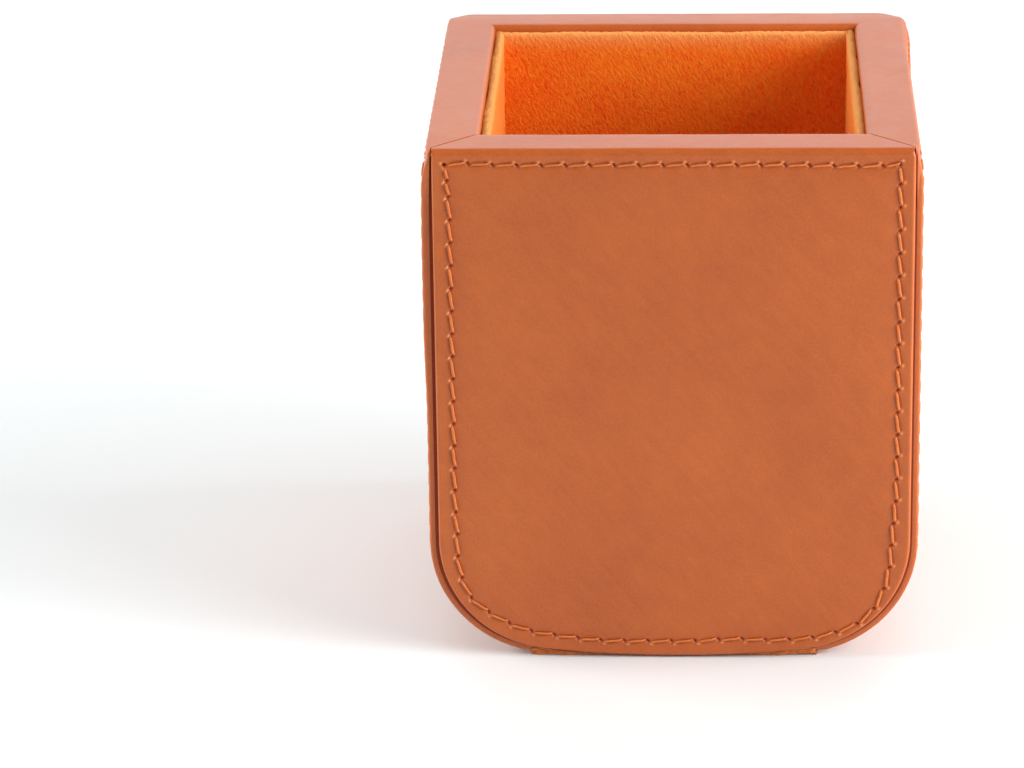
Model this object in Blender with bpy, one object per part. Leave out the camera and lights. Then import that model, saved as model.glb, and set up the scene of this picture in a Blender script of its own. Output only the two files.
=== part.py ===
"""Pen holder cup: an open square box of board, covered in stitched leather and lined with suede.

Metres, +Z up. The origin is on the table under the middle of the cup, and the front faces -Y.
The front and back panels stand proud of a side band, which is one strip of leather that runs down the
left side, under the base and up the right side. Each leather piece rolls over the top of the wall,
meets its neighbours in a mitre, and is turned down inside, behind the suede lining.
"""

import math

import bmesh
import bpy

MM = 0.001

# ---- driving dimensions -------------------------------------------------------------------------
WIDTH = 90.0 * MM            # over the side band
DEPTH = 90.0 * MM            # over the front and back panels
HEIGHT = 99.0 * MM           # table to the top of the rim
LEATHER = 1.1 * MM           # cover leather
BACKING = 1.0 * MM           # thin board that a cover is sewn to
CORE = 6.0 * MM              # wall boards of the box
BASE_CORE = 12.0 * MM        # base board
TURN_IN = 1.1 * MM           # leather turned down inside the mouth
TURN_IN_DROP = 14.0 * MM     # how far it reaches down
CARD = 0.7 * MM              # card inside a lining panel
SUEDE = 0.6 * MM             # suede over a lining card
LINING_ROUND = 0.35 * MM     # rounding of a lining panel's top edge
PAD = 0.65 * MM              # suede pad under the base
LINE = 0.3 * MM              # glue line between boards and covers
THIN_LINE = 0.2 * MM         # glue line inside the lining and in the mitres

CORNER = 22.4 * MM           # outer radius of the side band round the lower corners
CORNER_SWEEP = 76.0          # degrees of that arc before the flat of the base cuts it
PANEL_HALF = 43.45 * MM      # half width of the front panel, inside the groove
PANEL_CORNER = 21.0 * MM     # lower corner radius of the front panel
PANEL_LOW = 0.4 * MM         # lowest point of the front panel's lower edge
PANEL_BELLY = 1.2 * MM       # how much lower that edge is in the middle than at its corners
BAND_HALF = 43.6 * MM        # half depth of the side band, front edge to back edge
RIM_ROUND = 1.25 * MM        # rounding where a cover rolls over the top of the wall
MOUTH_ROUND = 1.0 * MM       # rounding where it turns down into the mouth

LINING_DROP = 1.1 * MM       # lining's top edge below the rim
PAD_HALF_WIDTH = 27.0 * MM
PAD_HALF_DEPTH = 43.9 * MM

THREAD_RADIUS = 0.25 * MM
THREAD_RISE = 0.35 * MM      # thread's centre line above the leather
PANEL_ROW_IN = 3.3 * MM      # stitch row in from the panel's side and lower edges
PANEL_ROW_DOWN = 2.9 * MM    # stitch row below the top of the panel
BAND_ROW_IN = 3.3 * MM       # stitch row in from the band's front and back edges

CUT_PAST = 5.0 * MM          # how far a cutter runs past what it cuts
ARC_STEPS = 12               # segments in a large arc
SMALL_STEPS = 4              # segments in a rounded edge
BELLY_STEPS = 4              # segments in half of the front panel's lower edge

# ---- worked out from them -----------------------------------------------------------------------
SIDE = WIDTH / 2
FACE = DEPTH / 2
BAND_BOTTOM = PAD + LINE
CORNER_Z = BAND_BOTTOM + CORNER * math.sin(math.radians(CORNER_SWEEP))
BACKING_OUT = LEATHER + LINE
CORE_OUT = BACKING_OUT + BACKING + LINE
CORE_IN = CORE_OUT + CORE
TURN_OUT = CORE_IN + LINE
TURN_FACE = TURN_OUT + TURN_IN
MOUTH = SIDE - TURN_FACE
CARD_OUT = TURN_FACE + THIN_LINE
SUEDE_OUT = CARD_OUT + CARD + THIN_LINE
INSIDE = SUEDE_OUT + SUEDE
CORE_TOP = HEIGHT - LEATHER - LINE
BASE_TOP = BAND_BOTTOM + CORE_OUT + BASE_CORE
LINING_TOP = HEIGHT - LINING_DROP
FLOOR_CARD_LOW = BASE_TOP + LINE
FLOOR_SUEDE_LOW = FLOOR_CARD_LOW + CARD + THIN_LINE
FLOOR = FLOOR_SUEDE_LOW + SUEDE

COLOURS = {
    "tan_leather": ((0.47, 0.145, 0.045, 1.0), 0.5),
    "orange_suede": ((0.72, 0.11, 0.012, 1.0), 0.95),
    "backing_board": ((0.32, 0.24, 0.16, 1.0), 0.9),
    "core_board": ((0.45, 0.33, 0.21, 1.0), 0.85),
    "grey_card": ((0.42, 0.40, 0.37, 1.0), 0.9),
    "stitch_thread": ((0.56, 0.17, 0.05, 1.0), 0.6),
}


# ---- scene, materials and objects ---------------------------------------------------------------
def clear_scene():
    for ob in list(bpy.data.objects):
        bpy.data.objects.remove(ob, do_unlink=True)


def collection(name):
    made = bpy.data.collections.new(name)
    bpy.context.scene.collection.children.link(made)
    return made


def material(name, kind):
    colour, roughness = COLOURS[kind]
    mat = bpy.data.materials.new(name)
    mat.use_nodes = True
    shader = mat.node_tree.nodes["Principled BSDF"]
    shader.inputs["Base Color"].default_value = colour
    shader.inputs["Roughness"].default_value = roughness
    shader.inputs["Metallic"].default_value = 0.0
    mat.diffuse_color = colour
    return mat


def finish(ob, kind):
    """Give a part its own material and shade its round stretches smooth."""
    ob.data.materials.clear()
    ob.data.materials.append(material(ob.name + "_material", kind))
    ob.data.shade_smooth()
    ob.data.set_sharp_from_angle(angle=math.radians(35))
    return ob


def box(name, low, high, target):
    """A cuboid between two corners, made from a unit cube."""
    mesh = bpy.data.meshes.new(name)
    bm = bmesh.new()
    bmesh.ops.create_cube(bm, size=1.0)
    for v in bm.verts:
        for i in range(3):
            v.co[i] = low[i] + (v.co[i] + 0.5) * (high[i] - low[i])
    bm.to_mesh(mesh)
    bm.free()
    ob = bpy.data.objects.new(name, mesh)
    target.objects.link(ob)
    return ob


def plate(name, outline, plane, low, high, target):
    """A flat outline in a plane, extruded along the third axis from low to high."""
    curve = bpy.data.curves.new(name, "CURVE")
    curve.dimensions = "2D"
    curve.fill_mode = "BOTH"
    curve.extrude = (high - low) / 2
    spline = curve.splines.new("POLY")
    spline.points.add(len(outline) - 1)
    for point, (a, b) in zip(spline.points, outline):
        point.co = (a, b, 0.0, 1.0)
    spline.use_cyclic_u = True
    ob = bpy.data.objects.new(name, curve)
    middle = (low + high) / 2
    if plane == "XZ":
        ob.rotation_euler = (math.radians(90), 0.0, 0.0)
        ob.location = (0.0, middle, 0.0)
    elif plane == "YZ":
        ob.rotation_euler = (math.radians(90), 0.0, math.radians(90))
        ob.location = (middle, 0.0, 0.0)
    else:
        ob.location = (0.0, 0.0, middle)
    target.objects.link(ob)
    return as_mesh(ob)


def as_mesh(ob):
    """Turn a curve object into a mesh object with welded caps, in the same place."""
    bpy.context.view_layer.update()
    evaluated = ob.evaluated_get(bpy.context.evaluated_depsgraph_get())
    mesh = bpy.data.meshes.new_from_object(evaluated)
    mesh.transform(ob.matrix_world)
    bm = bmesh.new()
    bm.from_mesh(mesh)
    bmesh.ops.remove_doubles(bm, verts=bm.verts, dist=0.000002)
    bmesh.ops.recalc_face_normals(bm, faces=bm.faces)
    bm.to_mesh(mesh)
    bm.free()
    name = ob.name
    homes = list(ob.users_collection)
    bpy.data.objects.remove(ob, do_unlink=True)
    mesh.name = name
    made = bpy.data.objects.new(name, mesh)
    for home in homes:
        home.objects.link(made)
    return made


def hide_cutter(ob):
    ob.hide_render = True
    ob.display_type = "WIRE"
    return ob


def boolean(ob, cutter, operation):
    mod = ob.modifiers.new(operation.title() + "_" + cutter.name, "BOOLEAN")
    mod.operation = operation
    mod.solver = "EXACT"
    mod.object = hide_cutter(cutter)
    return ob


# ---- outlines -----------------------------------------------------------------------------------
def arc(cx, cy, radius, start, end, steps):
    """Points of an arc, both ends included. Angles in degrees, anticlockwise from +X."""
    made = []
    for i in range(steps + 1):
        angle = math.radians(start + (end - start) * i / steps)
        made.append((cx + radius * math.cos(angle), cy + radius * math.sin(angle)))
    return made


def mirrored(right_half):
    """Close a right half with its mirror image. A point at x = 0 isn't repeated."""
    return right_half + [(-x, z) for x, z in reversed(right_half) if x > 0.0]


def band_half(inset, top):
    """Right half of the side band's outline, inset from its outer surface, from top to bottom."""
    radius = CORNER - inset
    flat = BAND_BOTTOM + inset
    centre_x = SIDE - CORNER
    sweep = math.degrees(math.asin((CORNER_Z - flat) / radius))
    side = [(SIDE - inset, top)]
    return side + arc(centre_x, CORNER_Z, radius, 0.0, -sweep, ARC_STEPS)


def panel_outline(inset, top):
    """Outline of the front panel, inset from its edge.

    Between the corners the lower edge is a shallow curve that hangs PANEL_BELLY lower in the middle."""
    corner_x = PANEL_HALF - PANEL_CORNER
    corner_z = PANEL_LOW + PANEL_BELLY + PANEL_CORNER
    slope = math.degrees(math.atan(2 * PANEL_BELLY / corner_x))
    half = [(PANEL_HALF - inset, top)]
    half += arc(corner_x, corner_z, PANEL_CORNER - inset, 0.0, slope - 90.0, ARC_STEPS)
    end_x, end_z = half[-1]
    low = PANEL_LOW + inset
    for i in range(1, BELLY_STEPS + 1):
        share = 1.0 - i / BELLY_STEPS
        half.append((end_x * share, low + (end_z - low) * share ** 2))
    return mirrored(half)


# ---- the box of boards --------------------------------------------------------------------------
def core_x(z):
    """Half width of the box of boards at a height on its rounded corners."""
    return SIDE - CORNER + math.sqrt((CORNER - CORE_OUT) ** 2 - (CORNER_Z - z) ** 2)


def core_boards(parts):
    """Front and back boards, with the base board and the side boards held between them."""
    outline = mirrored(band_half(CORE_OUT, CORE_TOP))
    for side, word in ((-1, "front"), (1, "back")):
        low, high = sorted((side * (FACE - CORE_OUT), side * (FACE - CORE_IN)))
        finish(plate("core_" + word + "_board", outline, "XZ", low, high, parts), "core_board")
    half_depth = FACE - CORE_IN - LINE
    rounded = [p for p in band_half(CORE_OUT, CORE_TOP) if p[1] < BASE_TOP - LINE]
    base = mirrored([(core_x(BASE_TOP), BASE_TOP)] + rounded)
    finish(plate("core_base_board", base, "XZ", -half_depth, half_depth, parts), "core_board")
    foot = BASE_TOP + LINE
    wall = [(SIDE - CORE_OUT, CORE_TOP), (SIDE - CORE_OUT, CORNER_Z), (core_x(foot), foot)]
    wall += [(SIDE - CORE_IN, foot), (SIDE - CORE_IN, CORE_TOP)]
    for side, word in ((-1, "left"), (1, "right")):
        outline = [(side * x, z) for x, z in wall]
        board = plate("core_" + word + "_board", outline, "XZ", -half_depth, half_depth, parts)
        finish(board, "core_board")


# ---- leather ------------------------------------------------------------------------------------
def hook(outer, bottom):
    """Section through a cover that rolls over the wall's top and turns down inside.

    Points (distance from the cup's middle, height), for a cover whose outer face is at outer."""
    inner = outer - TURN_FACE
    made = [(outer, bottom)]
    made += arc(outer - RIM_ROUND, HEIGHT - RIM_ROUND, RIM_ROUND, 0.0, 90.0, SMALL_STEPS)
    made += arc(inner + MOUTH_ROUND, HEIGHT - MOUTH_ROUND, MOUTH_ROUND, 90.0, 180.0, SMALL_STEPS)
    made += [(inner, HEIGHT - TURN_IN_DROP), (inner + TURN_IN, HEIGHT - TURN_IN_DROP)]
    made += [(inner + TURN_IN, HEIGHT - LEATHER), (outer - LEATHER, HEIGHT - LEATHER)]
    made += [(outer - LEATHER, bottom)]
    return made


def mitre_plan(side, near, far, gap):
    """Plan trapezoid between the two 45 degree mitre lines of a side, moved outwards by gap."""
    return [(-far, side * (far + gap)), (-near, side * (near + gap)),
            (near, side * (near + gap)), (far, side * (far + gap))]


def panel_leather(parts, cutters):
    for side, word in ((-1, "front"), (1, "back")):
        name = word + "_panel_leather"
        section = [(side * y, z) for y, z in hook(FACE, -CUT_PAST)]
        ob = plate(name, section, "YZ", -SIDE, SIDE, parts)
        low, high = sorted((side * (MOUTH - TURN_IN), side * (FACE + CUT_PAST)))
        shape = panel_outline(0.0, HEIGHT + CUT_PAST)
        boolean(ob, plate("cut_" + word + "_outline", shape, "XZ", low, high, cutters), "INTERSECT")
        plan = mitre_plan(side, MOUTH - TURN_IN, FACE + CUT_PAST, THIN_LINE / 2)
        wedge = plate("cut_" + word + "_mitre", plan, "XY", -CUT_PAST, HEIGHT + CUT_PAST, cutters)
        boolean(ob, wedge, "INTERSECT")
        finish(ob, "tan_leather")


def panel_backing(parts):
    """Thin board behind each panel, inside the side band."""
    outline = mirrored(band_half(BACKING_OUT, CORE_TOP))
    near, far = FACE - BACKING_OUT, FACE - BACKING_OUT - BACKING
    for side, word in ((-1, "front"), (1, "back")):
        low, high = sorted((side * near, side * far))
        finish(plate(word + "_panel_backing", outline, "XZ", low, high, parts), "backing_board")


def band_leather(parts, cutters):
    """One strip: hooked over the right wall, under the base and hooked over the left wall."""
    over_rim = hook(SIDE, CORNER_Z)[-2:0:-1]
    outside = band_half(0.0, HEIGHT)[1:]
    inside = band_half(LEATHER, HEIGHT)[:0:-1]
    outline = mirrored(inside + over_rim + outside)
    ob = plate("side_band_leather", outline, "XZ", -BAND_HALF, BAND_HALF, parts)
    low = HEIGHT - TURN_IN_DROP - CUT_PAST
    for side, word in ((-1, "front"), (1, "back")):
        plan = mitre_plan(side, MOUTH - TURN_IN, SIDE + CUT_PAST, -THIN_LINE / 2)
        wedge = plate("cut_band_" + word, plan, "XY", low, HEIGHT + CUT_PAST, cutters)
        boolean(ob, wedge, "DIFFERENCE")
    finish(ob, "tan_leather")


def band_backing(parts):
    """Thin board bent to a U under the band leather."""
    outer = band_half(BACKING_OUT, CORE_TOP)
    inner = band_half(BACKING_OUT + BACKING, CORE_TOP)
    half_depth = FACE - BACKING_OUT - BACKING - LINE
    outline = mirrored(inner[::-1] + outer)
    finish(plate("side_band_backing", outline, "XZ", -half_depth, half_depth, parts), "backing_board")


# ---- stitching ----------------------------------------------------------------------------------
def tube(name, points, cyclic, parts):
    curve = bpy.data.curves.new(name, "CURVE")
    curve.dimensions = "3D"
    curve.bevel_depth = THREAD_RADIUS
    curve.bevel_resolution = 2
    curve.use_fill_caps = True
    spline = curve.splines.new("POLY")
    spline.points.add(len(points) - 1)
    for point, co in zip(spline.points, points):
        point.co = (*co, 1.0)
    spline.use_cyclic_u = cyclic
    ob = bpy.data.objects.new(name, curve)
    parts.objects.link(ob)
    return finish(as_mesh(ob), "stitch_thread")


def panel_threads(parts):
    outline = panel_outline(PANEL_ROW_IN, HEIGHT - PANEL_ROW_DOWN)
    for side, word in ((-1, "front"), (1, "back")):
        y = side * (FACE + THREAD_RISE)
        tube(word + "_panel_thread", [(x, y, z) for x, z in outline], True, parts)


def band_threads(parts):
    """The run on each side: up the front edge, along the top edge and down the back edge."""
    row_y = BAND_HALF - BAND_ROW_IN
    row = [p for p in band_half(-THREAD_RISE, HEIGHT - PANEL_ROW_DOWN) if p[0] > PAD_HALF_WIDTH + MM]
    for side, word in ((-1, "left"), (1, "right")):
        front = [(side * x, -row_y, z) for x, z in reversed(row)]
        back = [(side * x, row_y, z) for x, z in row]
        tube("side_band_" + word + "_thread", front + back, False, parts)


# ---- lining and pad -----------------------------------------------------------------------------
def lining_section():
    """Section of a wall lining's suede: down its face and over the top edge of its card."""
    outer = SIDE - CARD_OUT
    step_z = LINING_TOP - SUEDE
    return [
        (outer, step_z),
        (outer, LINING_TOP - LINING_ROUND),
        (outer - LINING_ROUND, LINING_TOP),
        (SIDE - INSIDE + LINING_ROUND, LINING_TOP),
        (SIDE - INSIDE, LINING_TOP - LINING_ROUND),
        (SIDE - INSIDE, FLOOR + LINE),
        (SIDE - SUEDE_OUT, FLOOR + LINE),
        (SIDE - SUEDE_OUT, step_z),
    ]


def lining_wall(word, side, plane, half, parts):
    """One wall panel: a card, and the suede wrapped over its face and top edge."""
    low_z, high_z = FLOOR + LINE, LINING_TOP - SUEDE - THIN_LINE
    near, far = SIDE - CARD_OUT, SIDE - CARD_OUT - CARD
    board = [(side * near, low_z), (side * near, high_z), (side * far, high_z), (side * far, low_z)]
    card = plate("lining_" + word + "_card", board, plane, -half, half, parts)
    finish(card, "grey_card")
    section = [(side * a, z) for a, z in lining_section()]
    suede = plate("lining_" + word + "_suede", section, plane, -half, half, parts)
    finish(suede, "orange_suede")


def lining_walls(parts):
    """The left and right panels run the full depth, and the front and back ones fit between them."""
    full = SIDE - CARD_OUT
    between = SIDE - INSIDE - THIN_LINE
    lining_wall("left", -1, "XZ", full, parts)
    lining_wall("right", 1, "XZ", full, parts)
    lining_wall("front", -1, "YZ", between, parts)
    lining_wall("back", 1, "YZ", between, parts)


def lining_floor(parts):
    half = SIDE - CARD_OUT
    card_high = FLOOR_CARD_LOW + CARD
    card = box("lining_floor_card", (-half, -half, FLOOR_CARD_LOW), (half, half, card_high), parts)
    finish(card, "grey_card")
    suede = box("lining_floor_suede", (-half, -half, FLOOR_SUEDE_LOW), (half, half, FLOOR), parts)
    finish(suede, "orange_suede")


def base_pad(parts):
    low = (-PAD_HALF_WIDTH, -PAD_HALF_DEPTH, 0.0)
    pad = box("base_pad_suede", low, (PAD_HALF_WIDTH, PAD_HALF_DEPTH, PAD), parts)
    finish(pad, "orange_suede")


def build():
    clear_scene()
    parts = collection("pen_holder_cup")
    cutters = collection("cutters")
    core_boards(parts)
    panel_leather(parts, cutters)
    panel_backing(parts)
    band_leather(parts, cutters)
    band_backing(parts)
    panel_threads(parts)
    band_threads(parts)
    lining_walls(parts)
    lining_floor(parts)
    base_pad(parts)


build()
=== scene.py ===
"""Looks of the pen holder cup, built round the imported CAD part.

Lengths are in millimetres until Piece.make() turns them into a mesh in metres. A wall is drawn in its
own frame: along the wall, out from the middle of the cup, and up. on_wall() puts it on its side of the
cup. The leather is modelled with its stitch holes and the hollows that the thread pulls it into, and
every stitch is a twisted length of thread of its own.
"""

import math

import bmesh
import bpy
import numpy as np
from mathutils import Euler, Matrix, Vector


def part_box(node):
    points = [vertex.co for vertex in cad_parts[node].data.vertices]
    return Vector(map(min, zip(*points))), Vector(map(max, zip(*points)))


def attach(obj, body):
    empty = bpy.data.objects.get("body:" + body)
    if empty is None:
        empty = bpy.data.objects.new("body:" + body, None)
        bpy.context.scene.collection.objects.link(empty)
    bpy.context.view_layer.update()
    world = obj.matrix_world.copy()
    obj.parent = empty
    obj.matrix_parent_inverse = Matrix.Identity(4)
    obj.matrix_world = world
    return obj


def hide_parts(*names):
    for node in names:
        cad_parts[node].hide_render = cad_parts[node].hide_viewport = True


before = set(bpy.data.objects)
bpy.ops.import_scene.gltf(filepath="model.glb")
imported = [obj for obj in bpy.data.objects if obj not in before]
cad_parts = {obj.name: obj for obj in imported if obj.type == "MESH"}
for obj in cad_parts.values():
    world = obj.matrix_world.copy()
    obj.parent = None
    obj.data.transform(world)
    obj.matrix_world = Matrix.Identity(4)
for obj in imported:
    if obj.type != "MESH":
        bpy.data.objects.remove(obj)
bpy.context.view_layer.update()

METRE = 1000.0         # millimetres in a metre
FRONT_BACK = (("front", 0), ("back", 2))  # walls, and the quarter turns that place each of them
LEFT_RIGHT = (("left", 3), ("right", 1))


def node_box(node):
    """Lowest and highest corner of a CAD node, in millimetres."""
    low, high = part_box(node)
    return np.array(low) * METRE, np.array(high) * METRE


# ---- sizes read from the frame ----
PANEL_MIN, PANEL_MAX = node_box("front_panel_leather")
BAND_MIN, BAND_MAX = node_box("side_band_leather")
PAD_MAX = node_box("base_pad_suede")[1]
LONG_LINING_MIN, LONG_LINING_MAX = node_box("lining_right_suede")
SHORT_LINING_MAX = node_box("lining_back_suede")[1]

HEIGHT = PANEL_MAX[2]  # top of the rim
FACE = -PANEL_MIN[1]   # outer face of the front and back panels
MOUTH = -PANEL_MAX[1]  # inner face of the leather turned down inside the rim
PANEL_LOW = PANEL_MIN[2]
SIDE = BAND_MAX[0]     # outer face of the side band
BAND_HALF = BAND_MAX[1]
BAND_BOTTOM = BAND_MIN[2]
LINING_OUT = LONG_LINING_MAX[0]
LINING_IN = LONG_LINING_MIN[0]
LINING_TOP = LONG_LINING_MAX[2]
LINING_FOOT = LONG_LINING_MIN[2]

# ---- sizes shared with the CAD source ----
LEATHER = 1.1
RIM_ROUND = 1.25       # where a cover rolls over the top of the wall
MOUTH_ROUND = 1.0      # where it turns down inside
TURN_IN = 1.1
TURN_IN_DROP = 14.0
SEAM_GAP = 0.1         # from a cover's end to the middle of the mitre
CORNER = 22.4          # outer radius of the side band round the lower corners
CORNER_SWEEP = math.radians(76.0)
PANEL_BELLY = 1.2      # how much lower the panel's edge hangs in the middle
SUEDE = 0.6
BAND_ROW_IN = 3.3
ROW_DOWN = 2.9         # stitch row below the top of the rim

# ---- sizes of the finer shapes ----
PANEL_HALF = PANEL_MAX[0] - 0.05
PANEL_SHIFT = 0.15     # how far right of the middle each panel sits
PANEL_CORNER = 21.7    # lower corner radius of the panel
PANEL_ROW_IN = 3.1     # stitch row in from the panel's sides and lower edge
ROW_RIGHT = 0.4        # how much nearer the edge it is down the right side
ROW_RIGHT_FROM = -20.0  # place along the panel where that starts
ROW_RIGHT_REACH = 50.0  # and how far further on it is complete
# where a panel's row strays from that line: millimetres along it, clockwise from its top left
# corner, how far to either side, and how far outwards
ROW_DRIFT = ((0.0, 6.0, 0.5), (74.0, 9.0, -0.3), (154.0, 6.0, -0.8),
             (169.0, 6.0, 1.3), (180.0, 9.0, 0.5), (194.0, 5.0, -0.4),
             (218.0, 7.0, 0.4), (244.0, 5.0, 0.9), (256.0, 4.0, -0.3))
PANEL_LIP = 0.6        # rounding of the panel's cut edge
BAND_LIP = 0.5         # rounding of the band's cut edge
EDGE_WEAR_AND_HIGHLIGHT = 0.1        # how much paler the cut edges are, with wear and a painted highlight
PANEL_WEAR_HIGHLIGHT_WIDE = 0.6  # how far in from a panel's edge
BAND_WEAR_HIGHLIGHT_WIDE = 0.5   # and from the band's
RIM_WEAR_HIGHLIGHT_WIDE = 0.45   # and beside the seams over the rim
RIM_WEAR_HIGHLIGHT_LESS = 0.7    # how much less of it there is on top of the rim
SEAM_SHADE = 0.7        # how dark the painted shade in the mitred seams is
SEAM_SHADE_WIDE = 0.1
SHUT_REACH = 0.9       # how far from a back mitre its covers are pressed together
SHUT_SMOOTH = 0.9      # and how much of their rounding that takes away
SEAM_LIP = 0.2         # rounding of a cover's end in the mitre
COLUMN = 0.21          # spacing of mesh columns along a stitch row
ROW_STEP = 0.15        # spacing of mesh rows across it
ROW_REACH = 0.75       # how far inwards from the stitch row the mesh stays that fine
ROW_MARGIN = 2.2       # the same outwards from a panel's row
PANEL_INNER = 7.5      # inset where the panel's fine mesh ends
BAND_INNER = 6.5       # the same for the band
ZONE_BELOW = 2.2       # how far below its top stitch row the band's mesh turns fine all across
BAND_SEED = 5          # of the unevenness of the band's face
COARSE = 8             # fine columns to each coarse one
INNER_INSET = 2.0      # inset where a panel's hidden inner face turns coarse

TOP_PITCH = 4.37       # stitch length along the top of a panel
ROUND_PITCH = 4.364    # stitch length down its sides and round the bottom
FIRST_SHORT = 0.6      # how much shorter the first of those is
ROW_START = 0.3        # how far the first hole of all lies left of the left side's row
BAND_PITCH = 4.0
SLIT_REACH = 0.46      # half of a thread's sideways move over a slit
SLIT_HALF = 0.36       # half length of a slit
SLIT_WIDE = 0.26       # half width of a slit
SLIT_DEEP = 0.36
SLIT_NEAR = 2.0        # how far from a slit the leather feels it
SLIT_TURN = 0.45       # how much less a slit points along an upright row
PUCKER = 0.26          # height of the leather pushed up at a slit's outer end
PUCKER_WIDE = 0.3
RIDGE = 0.06           # height of the low ridge round a slit
RIDGE_OUT = 0.75       # distance from the slit to the top of it
RIDGE_WIDE = 0.3
RIDGE_TIGHT = 1.6      # how many times nearer it is at the slit's sides
CHANNEL = 0.1          # depth of the hollow under a thread
CHANNEL_WIDE = 0.42
CHANNEL_SHADE = 0.06    # how much of a slit's painted shade it has
FURROW = 0.1           # depth of the crease on a thread's outer side
FURROW_OUT = 0.36      # from the thread's middle to that crease
FURROW_WIDE = 0.13
FURROW_SHADE = 0.08     # how much of a slit's painted shade it has
FURROW_START = 0.2     # how far from a stitch's end the crease begins
FURROW_FADE = 0.8      # and how long it takes to reach its depth
SAG = 0.14             # depth of the wide dip along the stitch row
SAG_WIDE = 1.5
THREAD_WIDE = 0.27
THREAD_TALL = 0.2
THREAD_TIGHT = 0.35    # how much thinner a level stitch is, pulled in harder
THREAD_SUNK = -0.42    # middle of the thread at its ends, in the slits
THREAD_RUN = 0.6       # length of thread that rises out of a slit
THREAD_TAPER = 0.6     # share of its thickness that it has down there
THREAD_ARCH = 0.05     # how much higher the middle of a stitch is
THREAD_END_SHADE = 0.9      # how dark a stitch is painted at its ends, as shade down in the slits
THREAD_BEND = 0.07     # how far a stitch curves to either side
PLIES = 3
PLY_DEPTH = 0.17       # share of the radius that the ply grooves cut in
PLY_TURN = 1.8         # length of one turn of the plies
WOBBLE = 0.035         # unevenness of the leather's face
WOBBLE_SIZE = 7.0
FRONT_PULL = 0.6       # pull inwards, each way, of the band at the rim's front corners
BACK_PULL = 1.6        # and of all the leather at its back corners
CORNER_REACH = 6.0     # how far from the corner that starts
CORNER_DOWN = 0.8      # how far down it goes, for each millimetre inwards
LEAN = 0.6             # how far the outer face of the band leans in at the rim
LEAN_FROM = 92.0       # height where that starts
BULGE = 0.35           # how far the left wall swells out
BULGE_UP = 74.0        # height of its middle
BULGE_TALL = 20.0
FULL = 0.75            # how far the right wall swells below its back corner
FULL_UP = 92.5         # height of its middle
FULL_TALL = 7.5
FULL_FROM = 10.0       # how far behind the cup's middle it starts
FULL_REACH = 25.0      # and how much further back it is complete
BACK_DROP = 0.28       # how much lower the rim's back edge is
BACK_SLOPE = 7.0       # how far in front of that edge it starts
FLARE = 1.25           # how far the band's ends reach on over the rim's corners
FLARE_IN = 0.15        # how far they move in to close the groove there
FLARE_FROM = 94.0      # height where that starts
FLARE_REACH = 2.5      # how far in from the band's cut edge it starts
FLARE_EDGE = 0.45      # how far in from the rim's roll it starts
ROLL_START = HEIGHT - RIM_ROUND
RIM_FLAT = (MOUTH + MOUTH_ROUND, FACE - RIM_ROUND)  # reach of the flat between the two rolls
ROOF_STEP = 0.35       # from the outer roll to the first line on that flat
BACKING_CLEAR = 0.04   # from the band's leather to a panel's backing board


# ---- small mathematical helpers ----
def smooth_noise(points, size, seed):
    """Smooth noise from -1 to 1 at each point, with features about size wide."""
    cells = 32
    lattice = np.random.default_rng(seed).uniform(-1.0, 1.0, (cells, cells, cells))
    scaled = np.asarray(points, float) / size
    whole = np.floor(scaled).astype(int)
    part = scaled - whole
    part = part * part * (3.0 - 2.0 * part)
    total = np.zeros(len(scaled))
    for corner in range(8):
        step = np.array([corner & 1, corner >> 1 & 1, corner >> 2 & 1])
        weight = np.prod(np.where(step, part, 1.0 - part), axis=1)
        cell = (whole + step) % cells
        total += weight * lattice[cell[:, 0], cell[:, 1], cell[:, 2]]
    return total


def lip_drop(distance, radius):
    """How far a rounded edge falls below the face, at a distance in from the edge."""
    short = np.clip(radius - distance, 0.0, radius)
    return radius - np.sqrt(radius * radius - short * short)


def lip_steps(radius, count):
    """Distances in from an edge that follow its rounding evenly."""
    return [radius * (1.0 - math.sin(math.pi / 2 * (1.0 - i / count))) for i in range(count + 1)]


def stacked(*columns):
    """Columns of numbers side by side. A single number fills its whole column."""
    return np.column_stack(np.broadcast_arrays(*columns))


def on_wall(quarters, along, out, up):
    """Points of a wall as cup coordinates. 0 is the front wall, 1 the right one."""
    x, y = along, -out
    for _ in range(quarters % 4):
        x, y = -y, x
    return stacked(x, y, up)


def rising(value, start, reach):
    """0 up to the start, 1 from its reach onwards and a soft rise between."""
    share = np.clip((value - start) / reach, 0.0, 1.0)
    return share * share * (3.0 - 2.0 * share)


def bell(distance, width):
    """1 at no distance, falling softly to 0 beyond the width."""
    return np.exp(-(distance / width) ** 2)


def plateau(distance, width):
    """The same with a flatter top and steeper sides."""
    return np.exp(-(distance / width) ** 4)


def wobble(points, seed):
    """Unevenness of a leather face at points of the cup."""
    return WOBBLE * smooth_noise(points, WOBBLE_SIZE, seed)


def eased(points):
    """Points of the leather body off its ideal box: narrower at the rim, round at its corners."""
    points = np.array(points, float)
    x, y, up = points.T.copy()
    out = np.abs(x)
    outer = rising(out, SIDE - LEATHER, LEATHER)
    at_rim = rising(up, LEAN_FROM, HEIGHT - LEAN_FROM)
    swell = BULGE * plateau(up - BULGE_UP, BULGE_TALL) * (x < 0.0)
    swell += FULL * plateau(up - FULL_UP, FULL_TALL) * (x > 0.0) * rising(y, FULL_FROM, FULL_REACH)
    points[:, 0] += np.sign(x) * outer * (swell - LEAN * at_rim)
    points[:, 2] -= BACK_DROP * at_rim * rising(y, FACE - BACK_SLOPE, BACK_SLOPE)
    near = np.clip((np.abs(points) - (SIDE, FACE, HEIGHT) + CORNER_REACH) / CORNER_REACH, 0.0, 1.0)
    round_off = (near[:, 0] * near[:, 1]) ** 2 * near[:, 2]
    front = FRONT_PULL * rising(out, PANEL_HALF, SIDE - LEATHER - PANEL_HALF)
    pull = round_off * np.where(y < 0.0, front, BACK_PULL)
    return points - pull[:, None] * np.sign(points) * (1.0, 1.0, CORNER_DOWN)


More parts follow.
